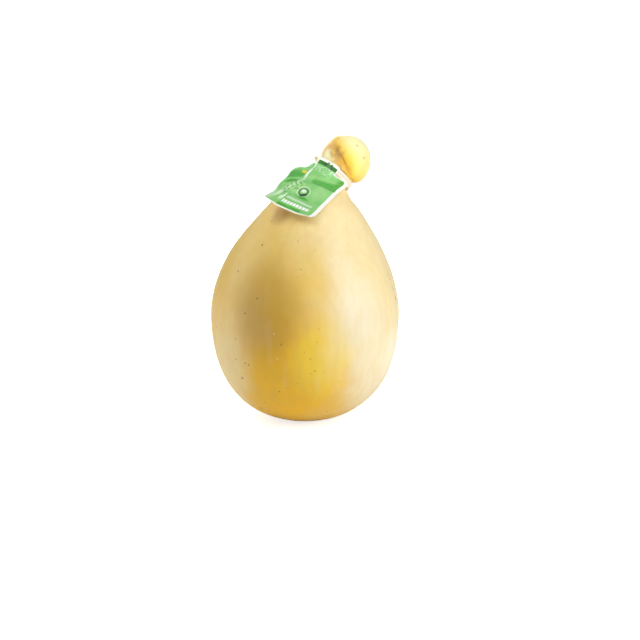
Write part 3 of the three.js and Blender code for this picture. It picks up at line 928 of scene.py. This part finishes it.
# The label: one sheet of film, given as a flat plan in millimetres across and down and then bent
labelShape = {
    "thickness": 0.4,
    "leafLeft": 23.8, "leafRight": 26, "leafLength": 51,  # from the strap's middle line, and down
    "cornerLeft": 1.5, "cornerRight": 5,
    "strapWidth": 21, "strapDrop": 4.2,
    "frontRadius": 19.6, "backRadius": 15.44, "backLength": 4, "overTwine": 2.9,
    "turn": -32, "pitch": 17, "twist": 5, "bendLength": 3.4,
    "flattenLength": 9, "bow": 400, "wingFollow": 0.35,
    "foldRadius": 5,
    "folds": ((-10.5, 0, -48, 38), (10.5, 0, 38, -8)),  # across, down, turn, angle
    "columns": (18, 28, 20), "rows": (22, 68),  # left of the strap, under it, right of it; strap, leaf
    "creases": (  # from, to (across, down), height, width
        ((-1, 18.2), (10, 17.4), -0.8, 0.9), ((10, 17.4), (25, 15.6), -1.0, 0.9),
        ((0, 15.6), (12, 14.4), 0.4, 1.0), ((11, 20), (25, 18.4), 0.5, 1.2),
        ((-9.5, -3), (-8.5, 9), 0.6, 0.9), ((-8.5, 9), (-6, 18), 0.8, 1.1),
        ((-23, 26), (-15, 19.5), 0.6, 1.0), ((-15, 19.5), (-8, 17.5), 0.6, 1.0),
        ((-20, 48), (-14, 33), 0.6, 1.4), ((-14, 33), (-7, 21), 0.6, 1.3),
        ((-19, 27), (-14, 23), -0.4, 1.0), ((-22, 37), (-17, 31), -0.5, 1.3), ((2, 22), (16, 27), -0.3, 1.8),
        ((4, 38), (20, 33), 0.35, 1.5), ((-14, 46), (2, 48.5), -0.4, 1.4), ((-22, 7), (-12, 3), -0.5, 1.4),
        ((-20, 14), (-13, 12.5), 0.4, 1.0), ((12, 28), (22, 24), -0.35, 1.2), ((0, 36), (9, 34.5), 0.3, 0.9),
        ((6, 12), (9, 2), 0.35, 0.5), ((8, 12.5), (14, 3.5), 0.4, 0.5), ((10, 13), (18, 5.5), -0.35, 0.55),
        ((12, 13.5), (21, 8.5), 0.35, 0.6), ((2, 11), (3, 1.5), -0.3, 0.55), ((-3, 10), (-2, -3), 0.25, 0.6),
        ((4, 3), (7, -2), 0.25, 0.5), ((-6, 12), (4, 7), 0.3, 0.7),
    ),
    "creaseEnds": 0.35, "creaseSharpness": 1.5,  # the share of a crease's height at its ends
    "crumple": 0.45, "crumpleScale": 0.11, "fineCrumple": 0.20, "fineScale": 0.33,
    "earRise": 0.6, "earRiseLength": 9, "earCut": 4.8, "earCutLength": 22,  # how the left ear runs
    "earSides": ((0, 2), (4, 13)),  # beyond the strap, where its rise starts and where it ends
    "bottomSag": 3.2, "sagFrom": 30, "sagMiddle": -5, "sagWidth": 50,
    "waists": ((4.2, 41, 8), (3.0, 25, 8)),  # depth, place and reach of each dip in the left edge
    "uvCorner": (30, 22), "uvSize": 80,  # the flat plan on the UV map
}


# Along the strap from the leaf: up the front, over the twine and down behind it
def strapPath(length):
    s = labelShape
    turnRadius = (s["frontRadius"] - s["backRadius"]) / 2
    turnHeight = s["overTwine"] / 2
    turning = length - s["strapDrop"] - turnHeight
    if turning <= 0:
        return s["frontRadius"], length - s["strapDrop"], 0
    if turning < math.pi * turnRadius:
        angle = turning / turnRadius
        radius = s["frontRadius"] - turnRadius * (1 - math.cos(angle))
        return radius, turnHeight + turnRadius * math.sin(angle), angle
    return s["backRadius"], turnHeight - (turning - math.pi * turnRadius), math.pi


def strapPoint(u, length, lift):
    radius, distance, angle = strapPath(length)
    turn = math.radians(labelShape["turn"]) + u / labelShape["frontRadius"]
    return neckPoint(turn, radius + lift * math.cos(angle), distance + lift * math.sin(angle))


# Bends a point of the flat leaf, with its height above it, round one fold
def foldPoint(u, v, w, fold):
    foldU, foldV, turn, angle = fold
    turn, bendBy = math.radians(turn), math.radians(abs(angle))
    radius = labelShape["foldRadius"]
    alongU, alongV = math.cos(turn), math.sin(turn)
    along = (u - foldU) * alongU + (v - foldV) * alongV
    away = (u - foldU) * alongV - (v - foldV) * alongU
    if away <= 0:
        return u, v, w
    bent = min(away / radius, bendBy)
    rest = away - radius * bent
    side = math.copysign(1, angle)
    reach = radius * math.sin(bent) + rest * math.cos(bent) + side * w * math.sin(bent)
    rise = w * math.cos(bent) - side * (radius * (1 - math.cos(bent)) + rest * math.sin(bent))
    return foldU + along * alongU + reach * alongV, foldV + along * alongV - reach * alongU, rise


def turned(start, towards, angle):
    return start * math.cos(angle) + towards * math.sin(angle)


# The leaf leaves the strap along the neck, swings out, and flattens sideways
def leafPoint(u, v, w):
    s = labelShape
    for fold in s["folds"]:
        u, v, w = foldPoint(u, v, w, fold)
    turn, pitch = math.radians(s["turn"]), math.radians(s["pitch"])
    out, across, down = neckRadial(turn), neckRadial(turn + math.pi / 2), -neckAxis
    bendRadius = s["bendLength"] / pitch
    bent = min(max(v, 0), s["bendLength"])
    angle = bent / bendRadius
    twist = math.radians(s["twist"]) * smooth(v, -s["bendLength"], s["bendLength"])
    pitchedOut = turned(out, down, -angle)
    acrossHere = turned(across, pitchedOut, twist)
    outHere = turned(pitchedOut, across, -twist)
    place = down * bendRadius * math.sin(angle) + out * bendRadius * (1 - math.cos(angle))
    place += turned(down, out, angle) * (v - bent)
    curve = hump(max(0, v), 0, s["flattenLength"]) / s["frontRadius"] + 1 / s["bow"]
    wrapped = min(abs(u), s["strapWidth"] / 2)
    wing, lean = abs(u) - wrapped, wrapped * curve * s["wingFollow"]
    reach = math.sin(wrapped * curve) / curve + wing * math.cos(lean)
    fall = (1 - math.cos(wrapped * curve)) / curve + wing * math.sin(lean)
    place += acrossHere * math.copysign(reach, u) + outHere * (w - fall)
    return neckPoint(turn, s["frontRadius"], -s["strapDrop"]) + place * mm


# How far the film stands off its smooth shape, where it is creased and crumpled
def crumpleAt(u, v):
    s = labelShape
    rise = 0
    for (startU, startV), (endU, endV), height, width in s["creases"]:
        alongU, alongV = endU - startU, endV - startV
        share = ((u - startU) * alongU + (v - startV) * alongV) / (alongU ** 2 + alongV ** 2)
        near = min(1, max(0, share))
        away = math.hypot(u - startU - near * alongU, v - startV - near * alongV)
        taper = between(s["creaseEnds"], 1, math.sin(math.pi * near))
        rise += height * taper * math.exp(-abs(away / width) ** s["creaseSharpness"])
    spot = Vector((u, v, 0))
    rise += s["crumple"] * noise.noise(spot * s["crumpleScale"])
    rise += s["fineCrumple"] * (1 - 2 * abs(noise.noise(spot * s["fineScale"])))
    return rise * (0.25 + 0.75 * smooth(v, -5, 3)) * smooth(v, -9, -4)  # calmer on the strap


# How far a rounded corner draws the edge in
def cornerIn(v, corner):
    missing = corner - min(max(min(v, labelShape["leafLength"] - v), 0), corner)
    return corner - math.sqrt(max(0, corner ** 2 - missing ** 2))


# The leaf's point for one of the flat plan, with its edges drawn in and its foot let down
def trimmed(u, v):
    s = labelShape
    half = s["strapWidth"] / 2
    edge, corner = (s["leafLeft"], s["cornerLeft"]) if u < 0 else (s["leafRight"], s["cornerRight"])
    inward = cornerIn(v, corner)
    if u < 0:
        inward += sum(depth * hump(v, middle, reach) for depth, middle, reach in s["waists"])
        inward += s["earCut"] * (1 - smooth(v, 0, s["earCutLength"]))
    inward *= max(0, abs(u) - half) / (edge - half)
    starts, ends = s["earSides"]
    ear = smooth(-u - half, *starts) * (1 - smooth(-u - half, *ends))
    rise = s["earRise"] * ear * max(0, 1 - v / s["earRiseLength"])
    sag = s["bottomSag"] * math.cos(math.pi * (u - s["sagMiddle"]) / s["sagWidth"])
    sag *= smooth(v, s["sagFrom"], s["leafLength"])
    return u - math.copysign(inward, u), v - rise + sag


# Where a step falls between edges that have so many steps from each to the next
def stepPlace(step, counts, edges):
    for count, start, end in zip(counts, edges, edges[1:]):
        if step <= count:
            return between(start, end, step / count)
        step -= count


# The place on the flat plan of a point of the starting grid
def flatPlace(column, row):
    s = labelShape
    half = s["strapWidth"] / 2
    foldLength = math.pi * (s["frontRadius"] - s["backRadius"]) / 2
    strapLength = s["strapDrop"] + s["overTwine"] / 2 + foldLength + s["backLength"]
    u = stepPlace(column, s["columns"], (-s["leafLeft"], -half, half, s["leafRight"]))
    return u, stepPlace(row, s["rows"], (-strapLength, 0, s["leafLength"]))


def makeLabel():
    s = labelShape
    columns, rows = sum(s["columns"]), sum(s["rows"])
    bpy.ops.object.select_all(action="DESELECT")
    place = (0.5, -0.5, 0)
    bpy.ops.mesh.primitive_grid_add(x_subdivisions=columns, y_subdivisions=rows, size=1, location=place)
    piece = bpy.context.object
    piece.name = "filmLabel"
    settle(piece)
    mesh = piece.data
    for vertex in mesh.vertices:
        u, v = flatPlace(round(vertex.co.x * columns), round(-vertex.co.y * rows))
        vertex.co = (u, -v, 0)

    # The plan beside the strap is cut away
    editMode()
    bpy.ops.mesh.select_mode(type="FACE")
    bpy.ops.mesh.select_all(action="DESELECT")
    objectMode()
    for polygon in mesh.polygons:
        corners = [mesh.vertices[index].co for index in polygon.vertices]
        beside = min(abs(corner.x) for corner in corners) >= s["strapWidth"] / 2 - 0.01
        polygon.select = beside and max(corner.y for corner in corners) > 0.01
    editMode()
    bpy.ops.mesh.delete(type="FACE")
    objectMode()
    startU, startV = s["uvCorner"]
    for loop, corner in zip(mesh.loops, mesh.uv_layers.active.data):
        place = mesh.vertices[loop.vertex_index].co
        corner.uv = (place.x + startU) / s["uvSize"], (startV - place.y) / s["uvSize"]
    for vertex in mesh.vertices:
        u, v = vertex.co.x, -vertex.co.y
        lift = crumpleAt(u, v)
        vertex.co = strapPoint(u, -v, lift) if v < 0 else leafPoint(*trimmed(u, v), lift)
    film = piece.modifiers.new("film", "SOLIDIFY")
    film.thickness = s["thickness"] * mm
    film.offset = 0
    film.material_offset = film.material_offset_rim = 1
    subdivide(piece, 1)
    return piece


labelInkAndShading = {
    "green": (0.20, 0.555, 0.15, 1), "leafGreen": (0.06, 0.36, 0.038, 1), "paleGreen": (0.43, 0.75, 0.31, 1),
    "darkGreen": (0.018, 0.17, 0.008, 1), "blackGreen": (0.010, 0.045, 0.010, 1),
    "white": (1.0, 1.0, 0.97, 1), "yellow": (0.85, 0.68, 0.08, 1),
    "back": ((0.90, 0.91, 0.86, 1), (0.80, 0.86, 0.76, 1)),
}


# Marks are 1 inside and 0 outside. Film is the two sockets that hold the place on the flat plan
def markBox(film, left, right, top, bottom, soft=0.25):
    u, v = film
    sides = [ramp(u, left - soft, left + soft), ramp(u, right + soft, right - soft)]
    return times(*sides, ramp(v, top - soft, top + soft), ramp(v, bottom + soft, bottom - soft))


# An ellipse, or a ring where an inner share is given
def markRound(film, middle, size, turn=0, soft=0.12, inner=None):
    along, across = math.cos(math.radians(turn)), math.sin(math.radians(turn))
    du, dv = minus(film[0], middle[0]), minus(film[1], middle[1])
    first = plus(times(du, along / size[0]), times(dv, across / size[0]))
    second = minus(times(dv, along / size[1]), times(du, across / size[1]))
    away = compute("SQRT", plus(times(first, first), times(second, second)))
    made = ramp(away, 1 + soft, 1 - soft)
    return times(made, ramp(away, inner - soft, inner + soft)) if inner else made


# A short line from one point to another, tapered at both ends
def markStroke(film, start, end, width, soft=0.3):
    middle = ((start[0] + end[0]) / 2, (start[1] + end[1]) / 2)
    alongU, alongV = end[0] - start[0], end[1] - start[1]
    size = (math.hypot(alongU, alongV) / 2, width / 2)
    return markRound(film, middle, size, math.degrees(math.atan2(alongV, alongU)), soft)


def printedAndShadedMaterial():
    material, tree, shader = newMaterial("printedShadedFilm")
    size, (startU, startV) = labelShape["uvSize"], labelShape["uvCorner"]
    flat = addNode(tree, "TexCoord").outputs["UV"]
    inputs = {"Vector": flat, "Location": (-startU, -startV, 0), "Scale": (size, size, 1)}
    place = addNode(tree, "Mapping", inputs).outputs[0]
    film = addNode(tree, "SeparateXYZ", {0: place}).outputs[:2]
    u, v = film

    def onFilm(mark):
        return lambda *plan: mark(film, *plan)

    box, oval, stroke = onFilm(markBox), onFilm(markRound), onFilm(markStroke)
    underFold = plus(v, times(u, 0.115))  # 18.3 along the right crease
    underEar = plus(v, times(u, 0.57))  # 13.0 along the left crease
    gaps = ramp(compute("PINGPONG", plus(u, 60.0), 1.0), 0.2, 0.4)
    breaks = ramp(compute("PINGPONG", plus(u, 60.4), 1.45), 0.2, 0.4)
    ticks = ramp(cloudy(place, 0.75, 2.0), 0.52, 0.60)
    leaves = [
        ((-13.6, 36.2), 100), ((-13.2, 32.6), 85), ((-11.8, 29.0), 65),
        ((-9.4, 26.0), 45), ((-6.2, 23.8), 25),
    ]
    sprigs = [oval((x, y), (1.5, 0.6), turn) for (x, y), turn in leaves]
    sprigs += [oval((x + 2.3, y + 1.6), (1.1, 0.45), turn + 60) for (x, y), turn in leaves]

    # Each layer of print or of painted light and shade lies over the ones before: its colour, its strength
    # and its marks
    layers = [
        # Soft pale blotches all over: painted reflections on the crinkled film
        ("paleGreen", 0.22, ramp(cloudy(place, 0.12), 0.35, 0.65)),
        # Darker fields under the folds and paler ones between, partly print and partly painted shade and
        # light; painted highlights and painted shade along the creases
        ("leafGreen", 0.85,
            times(ramp(underFold, 18.5, 18.1), ramp(underFold, 7.0, 14.5), ramp(u, -1.5, 1.5)),
            times(ramp(underEar, 13.3, 12.8), ramp(underEar, 0.0, 6.0), ramp(u, -8.0, -10.5)),
            oval((22, 8), (5, 7), -5, 0.3), oval((-15, 26), (6.5, 2.6), -30, 0.4),
            box(-9, 13, 46.9, 49.6, 0.5), oval((5, 36), (6, 1.4), 4, 0.5)),
        ("paleGreen", 0.35, oval((15, 25), (8, 7), -10, 0.5), oval((-18, 44), (5, 6), 20, 0.6)),
        # Painted highlights along two ridges on the left
        ("white", 0.32, stroke((-6.4, 18.5), (-14.5, 40), 2.6, 0.6), stroke((-12, 34), (-20, 47), 3.6, 0.6)),
        # Painted highlight: a soft pale band across the upper middle
        ("paleGreen", 0.45, stroke((-5, 15), (17, 7), 4.5, 0.8)),
        # Painted highlight: glare on the lower left corner; and a pale strip along the left edge
        ("white", 0.3, oval((-23.5, 46), (3.4, 7), 0, 0.5), ramp(u, -22.3, -23.0)),
        # Painted shade in the crease valleys
        ("darkGreen", 0.6,
            stroke((0, 18.4), (14, 17.3), 0.7), stroke((9, 17.6), (26, 15.4), 1.0),
            stroke((-19, 28.5), (-11, 22.5), 0.7), stroke((-8, 22), (2, 19.4), 0.6)),
        # Small dark sprigs of five leaves beside a plain ring, on a paler ground
        ("paleGreen", 0.55, oval((-5.5, 29.5), (9.5, 6), -12, 0.35)),
        ("darkGreen", 0.75, *sprigs),
        ("darkGreen", 0.4, oval((-5.0, 30.6), (2.6, 1.1), -25, 0.3)),
        ("white", 0.5, oval((2.2, 30.5), (5.6, 5.6), 0, 0.05, 0.88)),
        ("blackGreen", 0.7, oval((2.2, 30.5), (4.4, 4.4), 0, 0.07, 0.66)),
        ("white", 0.7, oval((1.8, 29.8), (2.0, 1.5), 20, 0.3)),
        ("blackGreen", 0.8, oval((4.4, 33.6), (3.2, 1.5), -40, 0.2)),
        # Two plain rows of bars and a pair of strokes
        ("white", 0.55, times(box(-6.5, 18.5, 39.2, 41.0, 0.2), gaps)),
        ("white", 0.9, times(box(-7, 18.5, 42.9, 45.6, 0.2), breaks),
            stroke((-8.4, 37.6), (-9.4, 44.6), 1.2), stroke((-10.4, 40.8), (-11.4, 45.6), 1.0)),
        # A yellow dot in a ring on the ear
        ("leafGreen", 0.7, oval((-12.6, 11.5), (3.2, 2.6), 0, 0.1, 0.8)),
        ("yellow", 0.85, oval((-12.6, 11.5), (2.6, 2.0), 0, 0.3)),
        # The strap: pale ticks and glare, a dark band, white edges, and darker blots
        ("white", 0.45, times(ticks, box(-8, 9, -1.0, 6.5, 0.6))),
        ("white", 0.75, stroke((-10.4, -6), (-9.2, 6), 1.8, 0.4), stroke((-9.8, 3), (-6.6, 19), 1.9, 0.4)),
        ("darkGreen", 1, box(-9.4, 9.8, -5.0, -1.4)),
        ("white", 1, ramp(u, 22.7, 23.1), ramp(v, 49.7, 50.1), box(-11, 11, -20, -5.1, 0.15),
            box(9.8, 11, -20, 0.8, 0.2), box(10.5, 23, -1, 0.9, 0.3)),
        ("blackGreen", 0.85,
            oval((-1.0, -3.4), (1.5, 0.9), 30, 0.3), oval((0.6, -5.6), (1.3, 0.7), -20, 0.3),
            oval((4.2, -4.6), (1.6, 0.9), 60, 0.3), oval((5.4, -2.2), (1.3, 0.8), 0, 0.3)),
    ]
    colour = labelInkAndShading["green"]
    for name, strength, mask, *others in layers:
        for mark in others:
            mask = compute("MAXIMUM", mask, mark)
        colour = blend(times(mask, strength), colour, labelInkAndShading[name])
    wrinkles = compute("ABSOLUTE", minus(cloudy(place, 0.4, 4.0, 0.6), 0.5))
    setInputs(shader, {
        "Base Color": colour, "Normal": bumped(0.6, 0.8, wrinkles),
        "Roughness": 0.27, "Coat Weight": 0.25, "Coat Roughness": 0.12,
    })
    return material


def backMaterial():
    material, tree, shader = newMaterial("filmBack")
    place = objectPlace(tree)
    colour = blend(mottled(place, 80.0, 0.3), *labelInkAndShading["back"])
    setInputs(shader, {"Base Color": colour, "Roughness": 0.4})
    return material


label = makeLabel()
dress(label, printedAndShadedMaterial(), backMaterial())
applyModifiers(label)
bpy.ops.object.shade_smooth()
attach(label, "root")
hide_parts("label")
print("label made,", len(label.data.polygons), "faces")
